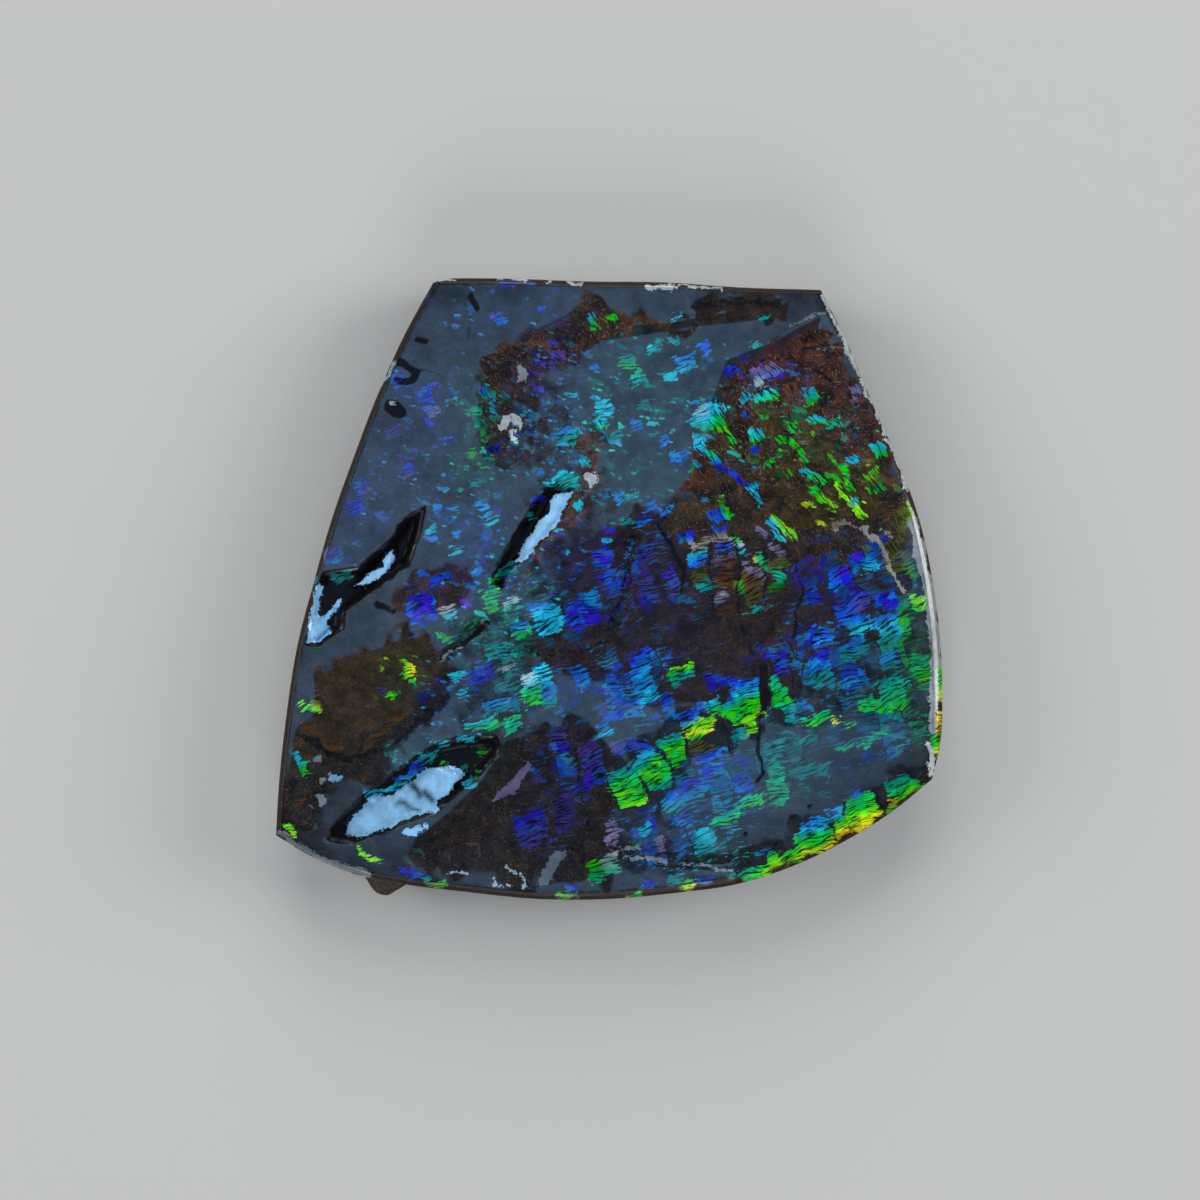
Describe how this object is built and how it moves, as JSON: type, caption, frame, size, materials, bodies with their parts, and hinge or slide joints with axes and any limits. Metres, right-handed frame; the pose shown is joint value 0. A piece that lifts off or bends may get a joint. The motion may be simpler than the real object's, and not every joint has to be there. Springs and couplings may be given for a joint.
{
  "type": "ammolite specimen",
  "caption": "Polished freeform slab of iridescent fossil ammonite nacre on a dark matrix base, lying face up on its flat underside",
  "frame": {"origin": "Middle of the outline's bounding box, on the flat underside that the stone lies on", "axes": "+X runs across the face, towards the side with the long curved edge. +Y runs up the face, from the wide bowed end to the narrow straight end. +Z stands out of the polished face."},
  "size_m": [0.0558, 0.052, 0.0075],
  "materials": {
    "nacre": "polished"
  },
  "bodies": {
    "root": {"ammolite_slab": "nacre"}
  },
  "joints": []
}
